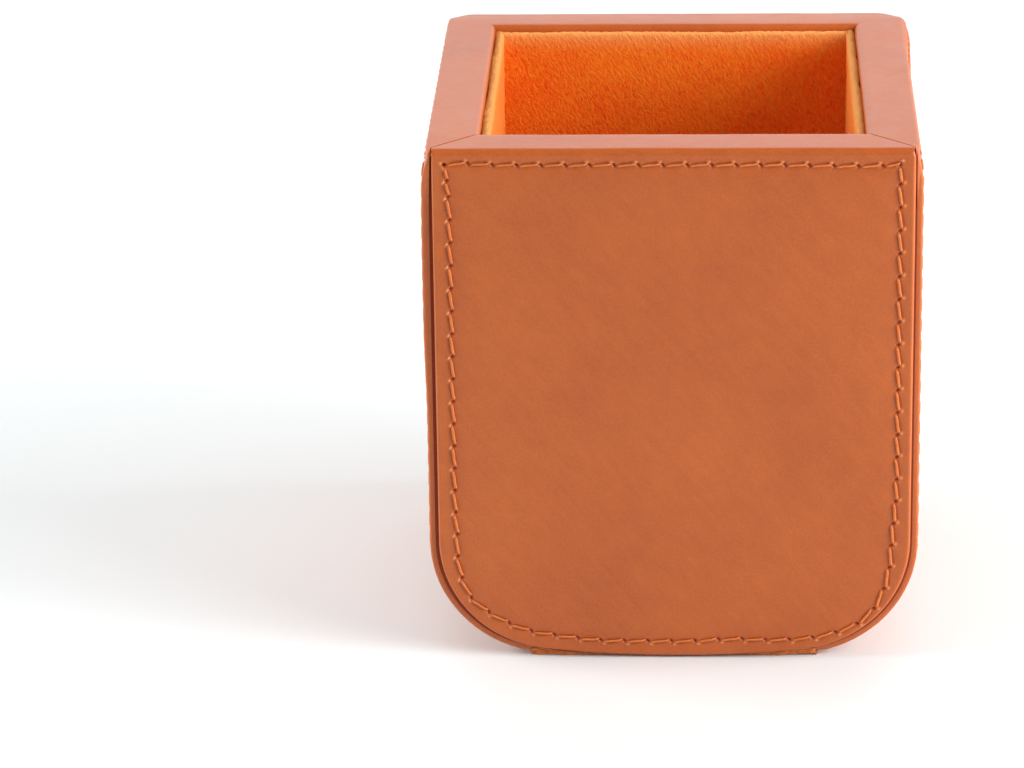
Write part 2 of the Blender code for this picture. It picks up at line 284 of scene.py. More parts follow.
def flared(points):
    """Points of the side band with its ends reaching on over the rim's corners, to meet the panels."""
    points = np.array(points, float)
    share = rising(points[:, 2], FLARE_FROM, ROLL_START - FLARE_FROM)
    share *= rising(np.abs(points[:, 0]), RIM_FLAT[1] - FLARE_EDGE, FLARE_EDGE)
    share *= rising(np.abs(points[:, 1]), BAND_HALF - FLARE_REACH, FLARE_REACH)
    points[:, 1] += FLARE * share * np.sign(points[:, 1])
    points[:, 0] -= FLARE_IN * share * np.sign(points[:, 0])
    return points


def along_line(line, places):
    """Points at given distances along a line of points."""
    steps = np.hypot(*np.diff(line, axis=0).T)
    reached = np.concatenate([[0.0], np.cumsum(steps)])
    return np.column_stack([np.interp(places, reached, line[:, i]) for i in (0, 1)])


def line_length(line):
    return float(np.hypot(*np.diff(line, axis=0).T).sum())


# ---- meshes ----
def added(name, data):
    """A new object in the scene."""
    ob = bpy.data.objects.new(name, data)
    bpy.context.scene.collection.objects.link(ob)
    return ob


class Piece:
    """Points and faces of one closed mesh. crease_shade and edge are marks for the material, 0 to 1:
    crease_shade for painted shade in slits, hollows and seams, edge for paler wear with painted highlight,
    painted sheen and painted light at edges.
    """

    def __init__(self):
        self.points = []
        self.crease_shade = []
        self.edge = []
        self.faces = []
        self.count = 0

    def line(self, points, crease_shade=0.0, edge=0.0):
        """Add a line of points and return their numbers."""
        points = np.asarray(points, float)
        self.points.append(points)
        self.crease_shade.append(np.broadcast_to(crease_shade, len(points)))
        self.edge.append(np.broadcast_to(edge, len(points)))
        numbers = list(range(self.count, self.count + len(points)))
        self.count += len(points)
        return numbers

    def shares(self, numbers):
        """How far along the line each point is, from 0 to 1."""
        line = np.concatenate(self.points)[numbers]
        reached = np.concatenate([[0.0], np.cumsum(np.linalg.norm(np.diff(line, axis=0), axis=1))])
        return reached / max(reached[-1], 1e-9)

    def join(self, first, second, closed=False):
        """Faces between two lines that run the same way: quads, or triangles if the counts differ."""
        if closed:
            first = first + first[:1]
            second = second + second[:1]
        if len(first) == len(second):
            self.faces += zip(first, first[1:], second[1:], second)
            return
        at_first = self.shares(first)
        at_second = self.shares(second)
        i = j = 0
        while i < len(first) - 1 or j < len(second) - 1:
            second_done = j == len(second) - 1
            if second_done or (i < len(first) - 1 and at_first[i + 1] <= at_second[j + 1]):
                self.faces.append((first[i], first[i + 1], second[j]))
                i += 1
            else:
                self.faces.append((first[i], second[j + 1], second[j]))
                j += 1

    def skin(self, lines, closed=False):
        """Faces between each line and the next."""
        for first, second in zip(lines, lines[1:]):
            self.join(first, second, closed)

    def shell(self, outer, inner):
        """A closed shell from the lines of its outer face and those of its inner face."""
        self.skin(outer)
        self.skin(inner)
        self.join(outer[0], inner[0])
        self.close(outer, inner)

    def close(self, outer, inner):
        """Faces between the two at their last lines and at the ends of all their lines."""
        self.join(outer[-1], inner[-1])
        for end in (0, -1):
            self.join([line[end] for line in outer], [line[end] for line in inner])

    def fill(self, numbers):
        self.faces.append(tuple(numbers))

    def make(self, name, material, nodes, warps=()):
        """The finished object, riding on the cup's body and standing for its CAD nodes."""
        mesh = bpy.data.meshes.new(name)
        points = np.concatenate(self.points)
        for warp in warps:
            points = warp(points)
        mesh.from_pydata(points / METRE, [], self.faces)
        bm = bmesh.new()
        bm.from_mesh(mesh)
        bmesh.ops.recalc_face_normals(bm, faces=bm.faces)
        bm.to_mesh(mesh)
        bm.free()
        for mark, values in (("crease_shade", self.crease_shade), ("edge", self.edge)):
            attribute = mesh.attributes.new(mark, "FLOAT", "POINT")
            attribute.data.foreach_set("value", np.concatenate(values).astype(np.float32))
        mesh.materials.append(material)
        mesh.shade_smooth()
        mesh.set_sharp_from_angle(angle=math.radians(60.0))
        ob = added(name, mesh)
        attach(ob, "root")
        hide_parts(*nodes)
        return ob


# ---- stitch rows ----
class StitchRow:
    """Slits along a line on a wall's face, with the way that the row runs at each."""

    def __init__(self):
        self.places = np.zeros((0, 2))
        self.ways = np.zeros((0, 2))

    def add(self, line, pitch, short, shorter=0.0):
        """Whole stitches along a line, then some short ones that use up what is left of it."""
        length = line_length(line)
        whole = int((length + shorter) / pitch) - short + 1
        reached = np.maximum(np.arange(whole + 1) * pitch - shorter, 0.0)
        reached = np.concatenate([reached, np.linspace(reached[-1], length, short + 1)[1:]])
        places = along_line(line, reached)
        step = 0.05
        ways = along_line(line, np.minimum(reached + step, length))
        ways = ways - along_line(line, np.maximum(reached - step, 0.0))
        ways /= np.linalg.norm(ways, axis=1)[:, None]
        if len(self.places):
            self.ways[-1] += ways[0]
            self.ways[-1] /= np.linalg.norm(self.ways[-1])
            places, ways = places[1:], ways[1:]
        self.places = np.concatenate([self.places, places])
        self.ways = np.concatenate([self.ways, ways])

    def slants(self):
        """Way that each slit is cut: half forwards and half to the right of the row."""
        right = stacked(self.ways[:, 1], -self.ways[:, 0])
        upright = np.abs(self.ways[:, 1:])
        mixed = self.ways * (1.0 - SLIT_TURN * upright) + right
        return mixed / np.linalg.norm(mixed, axis=1)[:, None]

    def threads(self):
        """Start and end of each stitch: out of one slit's far end and into the next one's near end."""
        shift = self.slants() * SLIT_REACH
        starts = self.places + shift
        ends = self.places - shift
        return list(zip(starts[:-1], ends[1:]))

    def relief(self, points):
        """Height of the sewn leather over its flat face at points, with its crease_shade mark of painted
        shade and its edge mark of painted highlight on the puckers.
        """
        height = np.zeros(len(points))
        crease_shade = np.zeros(len(points))
        edge = np.zeros(len(points))
        gap = np.full(len(points), 99.0)
        for start, end in self.threads():
            way = end - start
            length = np.linalg.norm(way)
            offset = points - start
            along = offset @ way / length
            share = np.clip(along / length, 0.0, 1.0)
            gap = np.minimum(gap, np.linalg.norm(offset - share[:, None] * way, axis=1))
            outward = offset @ np.array([-way[1], way[0]]) / length
            furrow = bell(outward - FURROW_OUT, FURROW_WIDE)
            furrow *= rising(along, FURROW_START, FURROW_FADE)
            furrow *= rising(length - along, FURROW_START, FURROW_FADE)
            height -= FURROW * furrow
            crease_shade += FURROW_SHADE * furrow
        height -= CHANNEL * bell(gap, CHANNEL_WIDE) + SAG * bell(gap, SAG_WIDE)
        crease_shade += CHANNEL_SHADE * plateau(gap, CHANNEL_WIDE)
        for place, slant in zip(self.places, self.slants()):
            offset = points - place
            near = np.flatnonzero(np.hypot(*offset.T) < SLIT_NEAR)
            offset = offset[near]
            across = offset @ np.array([-slant[1], slant[0]])
            along = offset @ slant
            slit = plateau(along, SLIT_HALF) * bell(across, SLIT_WIDE)
            lump = bell(np.hypot(*(offset + slant * (SLIT_REACH + PUCKER_WIDE)).T), PUCKER_WIDE)
            ridge = bell(np.hypot(along, across * RIDGE_TIGHT) - RIDGE_OUT, RIDGE_WIDE)
            height[near] += PUCKER * lump + RIDGE * ridge - SLIT_DEEP * slit
            # painted shade in each slit
            crease_shade[near] = np.maximum(crease_shade[near], slit)
            # painted highlight on the pucker beside it
            edge[near] = np.maximum(edge[near], lump * (1.0 - slit))
        return height, np.clip(crease_shade, 0.0, 1.0), edge


def sewn_thread(node, row, surface, quarters, material):
    """All the stitches of a row. surface(quarters, along, up, rise) gives points over the leather."""
    rings, sides = 30, 12
    piece = Piece()
    turn = np.linspace(0.0, 2.0 * math.pi, sides, endpoint=False)
    for number, (start, end) in enumerate(row.threads()):
        way = end - start
        length = np.linalg.norm(way)
        way = way / length
        across = np.array([-way[1], way[0]])
        tight = 1.0 - THREAD_TIGHT * abs(way[0])
        lines = []
        for reached in np.linspace(0.0, length, rings):
            rise = min(min(reached, length - reached) / THREAD_RUN, 1.0)
            lift = THREAD_SUNK * (1.0 - math.sin(rise * math.pi / 2))
            lift += THREAD_ARCH * math.sin(math.pi * reached / length)
            plies = np.cos(PLIES * (turn - 2.0 * math.pi * reached / PLY_TURN) + number)
            size = tight * (1.0 + PLY_DEPTH * plies) * (THREAD_TAPER + (1.0 - THREAD_TAPER) * rise)
            bend = THREAD_BEND * math.sin(2.0 * math.pi * reached / length)
            middle = start + way * reached + across * bend
            flat = middle + np.outer(THREAD_WIDE * size * np.cos(turn), across)
            points = surface(quarters, *flat.T, lift + THREAD_TALL * size * np.sin(turn))
            lines.append(piece.line(points, THREAD_END_SHADE * (1.0 - rise) ** 2))
        piece.skin(lines, closed=True)
        piece.fill(lines[0])
        piece.fill(lines[-1])
    return piece.make(node + "_stitches", material, [node], warps=(eased,))


# ---- how a cover goes over the rim ----
def roof_lines(half):
    """Outer face of a cover from just past the start of its roll to the bottom of its turn-in.

    Gives (out, height, way out, way up, half length, share of the mitre's rounding) for each line."""
    flat = np.linspace(RIM_FLAT[1] - ROOF_STEP, RIM_FLAT[0], 8)[:-1]
    profile = [(FACE - RIM_ROUND, ROLL_START, RIM_ROUND, angle) for angle in range(15, 91, 15)]
    profile += [(out, HEIGHT, 0.0, 90) for out in flat]
    profile += [(RIM_FLAT[0], HEIGHT - MOUTH_ROUND, MOUTH_ROUND, angle) for angle in range(90, 181, 18)]
    profile += [(MOUTH, HEIGHT - drop, 0.0, 180) for drop in (2.0, 4.0, 8.0, TURN_IN_DROP)]
    lines = []
    for out, up, radius, angle in profile:
        way_out = math.cos(math.radians(angle))
        way_up = math.sin(math.radians(angle))
        out += radius * way_out
        up += radius * way_up
        share = np.clip((FACE - out) / RIM_ROUND, 0.0, 1.0)
        lines.append((out, up, way_out, way_up, min(half, out - SEAM_GAP), share))
    return lines


def under_roof():
    """Inner face of a cover: (out, height) from the roll to the bottom of the turn-in."""
    under = HEIGHT - LEATHER
    near = MOUTH + TURN_IN
    return [(FACE - LEATHER, under), (near, under), (near, HEIGHT - TURN_IN_DROP)]


def over_roof(piece, first_line, shares, half, lip, quarters, seed):
    """Carry a cover's outer face on over the rim from its top line."""
    lines = [first_line]
    for out, up, way_out, way_up, reach, share in roof_lines(half):
        along = reach * shares
        rounding = lip + (SEAM_LIP - lip) * share
        inset = reach - np.abs(along)
        world = on_wall(quarters, along, out, up)
        shut = share * (world[:, 1] > 0.0) * (1.0 - rising(inset, 0.0, SHUT_REACH))
        along = along + SEAM_GAP * shut * np.sign(along)
        drop = lip_drop(inset, rounding) * (1.0 - SHUT_SMOOTH * shut)
        drop = drop - wobble(world, seed)
        points = on_wall(quarters, along, out - way_out * drop, up - way_up * drop)
        # painted shade in the mitre seam, left out where the back covers are pressed shut
        crease_shade = SEAM_SHADE * bell(inset, SEAM_SHADE_WIDE) * (1.0 - shut)
        # paler wear with a painted highlight beside the seams
        edge = EDGE_WEAR_AND_HIGHLIGHT * bell(inset, RIM_WEAR_HIGHLIGHT_WIDE) * (1.0 - RIM_WEAR_HIGHLIGHT_LESS * share)
        lines.append(piece.line(points, crease_shade, edge))
    return lines


def below_roof(piece, first_line, shares, half, quarters):
    """Carry its inner face on in the same way, up to the bottom of the turn-in."""
    lines = [first_line]
    for out, up in under_roof():
        lines.append(piece.line(on_wall(quarters, min(half, out - SEAM_GAP) * shares, out, up)))
    return lines


# ---- front and back panels ----
PANEL_CORNER_ALONG = PANEL_HALF - PANEL_CORNER
PANEL_CORNER_UP = PANEL_LOW + PANEL_BELLY + PANEL_CORNER
BELLY_SLOPE = math.atan(2 * PANEL_BELLY / PANEL_CORNER_ALONG)
TOP_SHARE = (ROW_DOWN - RIM_ROUND) / PANEL_ROW_IN  # the top's inset to the sides' inset


def edge_spacing(half, lip, spacing):
    """Places along half of a wall's top line, closer together at its end."""
    fine = [half - step for step in lip_steps(lip, 4)]
    even = np.linspace(0.0, fine[-1], int(round(fine[-1] / spacing)) + 1)
    return np.concatenate([even, fine[-2::-1]])


def both_ways(half_line):
    return np.concatenate([-half_line[:0:-1], half_line])


TOP_SHARES = both_ways(edge_spacing(PANEL_HALF, PANEL_LIP, COLUMN)) / PANEL_HALF
SIDE_STEPS = int(round((ROLL_START - PANEL_CORNER_UP) / COLUMN))
ARC_STEPS = int(round(PANEL_CORNER * (math.pi / 2 - BELLY_SLOPE) / COLUMN))
BELLY_STEPS = int(round(2 * PANEL_CORNER_ALONG / COLUMN))
MIRROR = (-1.0, 1.0)   # turns the right of an outline into its left


def panel_ring(inset):
    """Closed line (along, height) at an inset from the panel's edge, clockwise from the top left.

    Every ring has the same number of points. The top of a ring moves in less than its sides do."""
    half = PANEL_HALF - inset
    top = ROLL_START - inset * TOP_SHARE
    radius = PANEL_CORNER - inset
    angle = np.linspace(0.0, BELLY_SLOPE - math.pi / 2, ARC_STEPS + 1)
    arc = stacked(PANEL_CORNER_ALONG + radius * np.cos(angle), PANEL_CORNER_UP + radius * np.sin(angle))
    side = stacked(half, np.linspace(top, PANEL_CORNER_UP, SIDE_STEPS + 1))
    share = np.linspace(1.0, -1.0, BELLY_STEPS + 1)
    low = PANEL_LOW + inset
    belly = stacked(arc[-1, 0] * share, low + (arc[-1, 1] - low) * share ** 2)
    top_line = stacked(half * TOP_SHARES, top)
    stretches = [top_line, side, arc, belly, arc[::-1] * MIRROR, side[::-1] * MIRROR]
    return np.concatenate([stretch[:-1] for stretch in stretches])


def panel_edge_distance(ring):
    """How far points on the panel's face are from its side and lower edges."""
    along = np.abs(ring[:, 0])
    up = ring[:, 1]
    straight = PANEL_HALF - along
    rounded = PANEL_CORNER - np.hypot(along - PANEL_CORNER_ALONG, up - PANEL_CORNER_UP)
    end_along = PANEL_CORNER_ALONG + PANEL_CORNER * math.sin(BELLY_SLOPE)
    end_up = PANEL_CORNER_UP - PANEL_CORNER * math.cos(BELLY_SLOPE)
    belly = up - PANEL_LOW - (end_up - PANEL_LOW) * (along / end_along) ** 2
    past = along > PANEL_CORNER_ALONG + (PANEL_CORNER_UP - up) * math.tan(BELLY_SLOPE)
    return np.where(up > PANEL_CORNER_UP, straight, np.where(past, rounded, belly))


def row_steps(lip, row_in, margin, end):
    """Insets of the mesh lines from a sewn cover's edge: fine at its lip and at its stitch row."""
    fine = np.arange(row_in - margin, row_in + ROW_REACH, ROW_STEP)
    between = np.linspace(lip, fine[0], 4)[1:-1]
    inside = fine[-1] + (end - fine[-1]) * np.array([0.12, 0.28, 0.5, 0.75, 1.0])
    return list(lip_steps(lip, 5)) + list(between) + list(fine) + list(inside)


def panel_row():
    """Stitch row of a panel: along the top, then down the right and back up the left."""
    ring = panel_ring(PANEL_ROW_IN)
    corner = len(TOP_SHARES)
    steps = np.roll(ring, -1, axis=0) - np.roll(ring, 1, axis=0)
    outward = stacked(-steps[:, 1], steps[:, 0]) / np.linalg.norm(steps, axis=1)[:, None]
    reached = np.concatenate([[0.0], np.cumsum(np.linalg.norm(np.diff(ring, axis=0), axis=1))])
    whole = reached[-1] + np.linalg.norm(ring[0] - ring[-1])
    stray = ROW_RIGHT * rising(ring[:, 0], ROW_RIGHT_FROM, ROW_RIGHT_REACH)
    stray = stray * (reached > reached[corner - 1] - COLUMN / 2)
    for place, reach, out in ROW_DRIFT:
        away = np.abs(reached - place)
        away = np.minimum(away, whole - away)
        stray += out * bell(away, reach)
    ring = ring + stray[:, None] * outward
    ring[0, 0] -= ROW_START
    row = StitchRow()
    row.add(ring[:corner], TOP_PITCH, 1)
    row.add(np.concatenate([ring[corner - 1:], ring[:1]]), ROUND_PITCH, 2, FIRST_SHORT)
    return row


def on_panel(quarters, along, up, rise):
    """Points over a panel's face as cup coordinates."""
    return on_wall(quarters, along + PANEL_SHIFT, FACE + rise, up)


def panel_backing(word, quarters, material):
    """Dyed board behind a panel. Its face is the bottom of the groove round the panel."""
    name = word + "_panel_backing"
    low, high = node_box(name)
    near, far = sorted((abs(low[1]), abs(high[1])), reverse=True)
    out, up = band_path(side_heights(6, 40, 50, high[2]), -(LEATHER + BACKING_CLEAR))
    right = stacked(out, up)
    outline = np.concatenate([right, right[:0:-1] * MIRROR])
    piece = Piece()
    lines = []
    for depth in (near, far):
        lines.append(piece.line(on_wall(quarters, outline[:, 0], depth, outline[:, 1])))
        piece.fill(lines[-1])
    piece.join(lines[0], lines[1], closed=True)
    return piece.make(name + "_board", material, [name], warps=(eased,))


def panel(word, quarters, row, material):
    piece = Piece()
    corner = len(TOP_SHARES)

    def place(ring, rise):
        return on_panel(quarters, *ring.T, rise)

    rings = []
    insets = row_steps(PANEL_LIP, PANEL_ROW_IN, ROW_MARGIN, PANEL_INNER)
    for inset in insets:
        ring = panel_ring(inset)
        distance = np.maximum(panel_edge_distance(ring), 0.0)
        height, crease_shade, pucker_highlight = row.relief(ring)
        rise = height + wobble(place(ring, 0.0), quarters) - lip_drop(distance, PANEL_LIP)
        # paler wear with a painted highlight at the cut edge, and painted highlight on the puckers
        wear_and_highlight = EDGE_WEAR_AND_HIGHLIGHT * bell(distance, PANEL_WEAR_HIGHLIGHT_WIDE)
        rings.append(piece.line(place(ring, rise), crease_shade, np.maximum(wear_and_highlight, pucker_highlight)))
    piece.skin(rings, closed=True)

    # the plain middle, in wider and wider steps
    edge_ring = panel_ring(insets[-1])[::COARSE]
    centre = edge_ring.mean(axis=0)
    last = rings[-1]
    for share in (0.97, 0.9, 0.8, 0.65, 0.5, 0.35, 0.2):
        ring = centre + (edge_ring - centre) * share
        line = piece.line(place(ring, wobble(place(ring, 0.0), quarters)))
        piece.join(last, line, closed=True)
        last = line
    piece.fill(last)

    # the inner face, and the cut edge between the two
    inner = piece.line(place(panel_ring(0.0), -LEATHER))
    piece.join(rings[0][corner - 1:] + [rings[0][0]], inner[corner - 1:] + [inner[0]])
    coarse = piece.line(place(panel_ring(INNER_INSET)[::COARSE], -LEATHER))
    piece.join(inner, coarse, closed=True)
    piece.fill(coarse)

    outer_lines = over_roof(piece, rings[0][:corner], TOP_SHARES, PANEL_HALF, PANEL_LIP,
                            quarters, quarters)
    inner_lines = below_roof(piece, inner[:corner], TOP_SHARES, PANEL_HALF, quarters)
    piece.skin(outer_lines)
    piece.skin(inner_lines)
    piece.close(outer_lines, inner_lines)
    name = word + "_panel_leather"
    return piece.make(name + "_cover", material, [name], warps=(eased,))


# ---- side band ----
CORNER_OUT = SIDE - CORNER
CORNER_UP = BAND_BOTTOM + CORNER * math.sin(CORNER_SWEEP)
ARC_FOOT = CORNER_UP - CORNER * CORNER_SWEEP  # height coordinate where the arc ends
FLAT_OUT = CORNER_OUT + CORNER * math.cos(CORNER_SWEEP)
BAND_FOOT = ARC_FOOT - FLAT_OUT  # height coordinate at the middle of the base


def band_path(up, rise):
    """Place (out, height) on the band. up runs down the side, round the corner and under the base."""
    angle = np.clip((CORNER_UP - up) / CORNER, 0.0, CORNER_SWEEP)
    flat = np.clip(ARC_FOOT - up, 0.0, FLAT_OUT)
    radius = CORNER + rise
    out = CORNER_OUT + radius * np.cos(angle) - flat
    height = CORNER_UP - radius * np.sin(angle) + np.maximum(up - CORNER_UP, 0.0)
    under = up < ARC_FOOT
    out = np.where(under, FLAT_OUT - flat, out)
    height = np.where(under, BAND_BOTTOM - rise, height)
    return out, height


def on_band(quarters, along, up, rise):
    """Points over the band's face as cup coordinates."""
    out, height = band_path(up, rise)
    return on_wall(quarters, along, out, height)


def band_row():
    """Stitch row on one side: up the left edge, along the top and down the right edge."""
    reach = BAND_HALF - BAND_ROW_IN
    top = HEIGHT - ROW_DOWN
    start = ARC_FOOT + 1.0
    row = StitchRow()
    row.add(np.array([[-reach, start], [-reach, top]]), BAND_PITCH, 2)
    row.add(np.array([[-reach, top], [reach, top]]), BAND_PITCH, 1)
    row.add(np.array([[reach, top], [reach, start]]), BAND_PITCH, 2)
    return row


def band_columns(spacing):
    """Places along the band's width. With a spacing they stay that fine from edge to edge."""
    steps = np.array(row_steps(BAND_LIP, BAND_ROW_IN, ROW_REACH, BAND_INNER))
    if spacing:
        steps = steps[steps < BAND_ROW_IN - ROW_REACH]
        middle = np.linspace(BAND_HALF - steps[-1], 0.0, int((BAND_HALF - steps[-1]) / spacing))[1:]
    else:
        middle = np.linspace(BAND_HALF - steps[-1], 0.0, 9)[1:]
    return both_ways(np.concatenate([BAND_HALF - steps, middle])[::-1])


def plain_columns():
    """Places along the width of the band's hidden inner face."""
    return both_ways(np.linspace(0.0, BAND_HALF, 15))


def side_heights(flat, arc, straight, top):
    """Heights for band_path from the middle of the base to top, as many as asked for each stretch."""
    return np.concatenate([np.linspace(BAND_FOOT, ARC_FOOT, flat)[:-1],
                           np.linspace(ARC_FOOT, CORNER_UP, arc)[:-1],
                           np.linspace(CORNER_UP, top, straight)])


def band_side(piece, quarters, row, first):
    """Outer and inner lines of the band, from line number first under the base to inside the rim."""
    top_row = HEIGHT - ROW_DOWN
    fine = list(np.arange(top_row - ROW_REACH, top_row + ROW_REACH + 0.01, ROW_STEP))
    zone = fine[0] - ZONE_BELOW
    low = list(np.linspace(BAND_FOOT, ARC_FOOT, 10)[:-1])
    low += list(np.linspace(ARC_FOOT, zone, int((zone - ARC_FOOT) / COLUMN)))
    high = [fine[0] - gap for gap in (1.5, 0.9, 0.4)] + fine + [(fine[-1] + ROLL_START) / 2, ROLL_START]
    wide = band_columns(COLUMN)
    outer = []
    for columns, heights in ((band_columns(0.0), low[first:]), (wide, high)):
        for up in heights:
            height, crease_shade, pucker_highlight = row.relief(stacked(columns, up))
            distance = BAND_HALF - np.abs(columns)
            uneven = wobble(on_band(quarters, columns, up, 0.0), BAND_SEED)
            points = on_band(quarters, columns, up, height + uneven - lip_drop(distance, BAND_LIP))
            # paler wear with a painted highlight at the cut edge, and painted highlight on the puckers
            wear_and_highlight = EDGE_WEAR_AND_HIGHLIGHT * bell(distance, BAND_WEAR_HIGHLIGHT_WIDE)
            outer.append(piece.line(points, crease_shade, np.maximum(wear_and_highlight, pucker_highlight)))
    plain = plain_columns()
    inner = []
    for up in side_heights(10, 24, 8, ROLL_START)[first:]:
        inner.append(piece.line(on_band(quarters, plain, up, -LEATHER)))
    outer += over_roof(piece, outer[-1], wide / BAND_HALF, BAND_HALF, BAND_LIP, quarters, BAND_SEED)[1:]
    inner += below_roof(piece, inner[-1], plain / BAND_HALF, BAND_HALF, quarters)[1:]
    return outer, inner


def band(row, material):
    """One strip, from the left mouth down the left side, under the base and up to the right mouth."""
    piece = Piece()
    left = band_side(piece, 3, row, 1)
    right = band_side(piece, 1, row, 0)
    faces = [[line[::-1] for line in before[::-1]] + after for before, after in zip(left, right)]
    piece.shell(*faces)
    return piece.make("side_band_leather_cover", material, ["side_band_leather"],
                      warps=(flared, eased))


# ---- suede ----
NAP = 0.06             # height of the nap's unevenness on the face
EDGE_NAP = 0.1         # the same on the rounded top edges
PUFF = 0.09            # height of the wide, soft swells of the suede over its card
NAP_SIZES = (0.55, 1.6, 9.0)  # width of the nap's tufts, of its clumps and of those swells
NAP_SEEDS = (21, 22, 23)
NAP_SUNK = 0.02        # how far under the card's true face the middle of the nap lies
FLOOR_SEEDS = (31, 32)
FLOOR_PUFF = 0.08      # height of the swells of the floor's suede
FLOOR_SUNK = 0.1       # how far under its true face the middle of it lies
NAP_MEETS = 0.35       # how far the nap fills the gap to the wall beside it
FUZZ_AND_SHEEN_DEPTH = 4.0       # how far down the face the pale, ruffled nap of the top edge, with its painted sheen, fades
LOOSE_EDGE = 0.2       # how far the suede's top edge spreads towards the leather of the rim
BACK_NAP = 2.0         # how much rougher it is on that side


def lining_wall(word, quarters, half, material):
    """Suede over one wall card: down behind it a little, over its top edge and down its face."""
    piece = Piece()
    half = half + NAP_MEETS
    fine = both_ways(np.linspace(0.0, half, int(half / 0.3) + 1))
    plain = both_ways(np.linspace(0.0, half, int(half / 1.5) + 1))
    step = LINING_TOP - SUEDE
    middle = (LINING_IN + LINING_OUT) / 2
    reach = (LINING_OUT - LINING_IN) / 2
    edge = [(LINING_OUT, step, 1.0, 0.0)]
    for angle in np.radians(np.arange(10, 171, 16)):
        out = middle + reach * math.cos(angle)
        up = step + SUEDE * math.sin(angle) ** 0.8
        edge.append((out, up, math.cos(angle), math.sin(angle)))
    for drop in (0.25, 0.6, 1.0, 1.5, 2.1, 2.8, 3.6):
        edge.append((LINING_IN, step - drop, -1.0, 0.0))
    face = [(LINING_IN, up, -1.0, 0.0) for up in np.linspace(step - 5.0, LINING_FOOT, 54)]
    lines = []
    for columns, rows in ((fine, edge), (plain, face)):
        for out, up, way_out, way_up in rows:
            world = on_wall(quarters, columns, out, up)
            rise = -NAP_SUNK
            tufts = EDGE_NAP if up > step - 1.0 else NAP
            for size, height, seed in zip(NAP_SIZES, (tufts, NAP, PUFF), NAP_SEEDS):
                rise = rise + height * smooth_noise(world, size, seed)
            spread = way_out * rise
            if way_out >= 0.0:
                spread = BACK_NAP * spread + LOOSE_EDGE * way_out
            # paler ruffled nap with painted sheen, strongest at the top edge
            mark = float(np.clip((up - step + FUZZ_AND_SHEEN_DEPTH) / FUZZ_AND_SHEEN_DEPTH, 0.0, 1.0)) ** 2
            points = on_wall(quarters, columns, out + spread, up + way_up * rise)
            lines.append(piece.line(points, edge=mark))
    back = [piece.line(on_wall(quarters, plain, LINING_IN + SUEDE, up)) for up in (step, LINING_FOOT)]
    piece.shell(lines, back)
    name = "lining_" + word + "_suede"
    return piece.make(name + "_nap", material, [name])


def lining_floor(material):
    piece = Piece()
    low, high = node_box("lining_floor_suede")
    columns = np.linspace(low[0], high[0], 56)
    lines = []
    for y in np.linspace(low[1], high[1], 56):
        points = stacked(columns, y, high[2])
        clumps = smooth_noise(points, NAP_SIZES[1], FLOOR_SEEDS[0])
        swells = smooth_noise(points, NAP_SIZES[2], FLOOR_SEEDS[1])
        points[:, 2] += NAP * clumps + FLOOR_PUFF * swells - FLOOR_SUNK
        lines.append(piece.line(points))
    corners = np.linspace(low[0], high[0], 4)
    back = [piece.line(stacked(corners, y, low[2])) for y in np.linspace(low[1], high[1], 4)]
    piece.shell(lines, back)
    return piece.make("lining_floor_suede_nap", material, ["lining_floor_suede"])


PAD_STEP = 0.3         # spacing of points round the pad
PAD_FRAY = 0.45        # unevenness of the pad's cut edge
PAD_TUFTS = ((0.6, 41), (1.7, 42))    # widths of its tufts, and their seeds
PAD_FRAY_REACH = 2.0   # how far in from the edge that is
PAD_FRAY_IN = 0.04     # how far its middle lies inside the true edge
PAD_FRAY_UP = 0.4      # how far a tuft rises for each millimetre outwards
PAD_BEHIND = 0.25      # thickness of the pad's edge where it stands up in front of the band
# where the front edge stands up past the pad's thickness: how far, place along it where that starts,
# how far further out it is complete, the power of its rise, and how soon it ends at the pad's corner
PAD_LIFTS = ((-1.0, 0.85, 18.0, 7.5, 1.2, 0.8), (1.0, 0.55, 13.0, 12.0, 1.3, 0.6))
PAD_CURL = 0.3         # how far the front edge's right end stands off the table
PAD_CURL_FROM = 19.0
PAD_CURL_REACH = 7.0
# lines round the pad's cut edge: inset, share of its height, and share of the fraying
PAD_EDGE = ((1.2, 0.0, 0.0), (0.45, 0.0, 0.3), (0.18, 0.12, 1.0), (0.1, 0.45, 1.2),
            (0.12, 0.8, 1.2), (0.2, 1.0, 1.0), (PAD_BEHIND, 0.97, 0.4))


def pad_ring(inset):
    """Closed line round the pad at an inset from its edge, the same number of points for each."""
    half_along = PAD_MAX[0] - inset
    half_deep = PAD_MAX[1] - inset
    along = np.linspace(-1.0, 1.0, int(2 * PAD_MAX[0] / PAD_STEP) + 1)[:-1]
    deep = np.linspace(-1.0, 1.0, int(2 * PAD_MAX[1] / PAD_STEP) + 1)[:-1]
    front = stacked(half_along * along, -half_deep)
    right = stacked(half_along, half_deep * deep)
    return np.concatenate([front, right, -front, -right])


def pad_lift(ring):
    """How far the pad's front edge stands up past its thickness: more at the left than at the right."""
    front = np.clip((-ring[:, 1] - BAND_HALF + 0.35) / 0.2, 0.0, 1.0)
    total = 0.0
    for side, height, start, reach, power, corner in PAD_LIFTS:
        out = side * ring[:, 0]
        lift = height * np.clip((out - start) / reach, 0.0, 1.0) ** power
        total = total + lift * np.clip((PAD_MAX[0] - out) / corner, 0.0, 1.0) ** 0.5
    return front * total


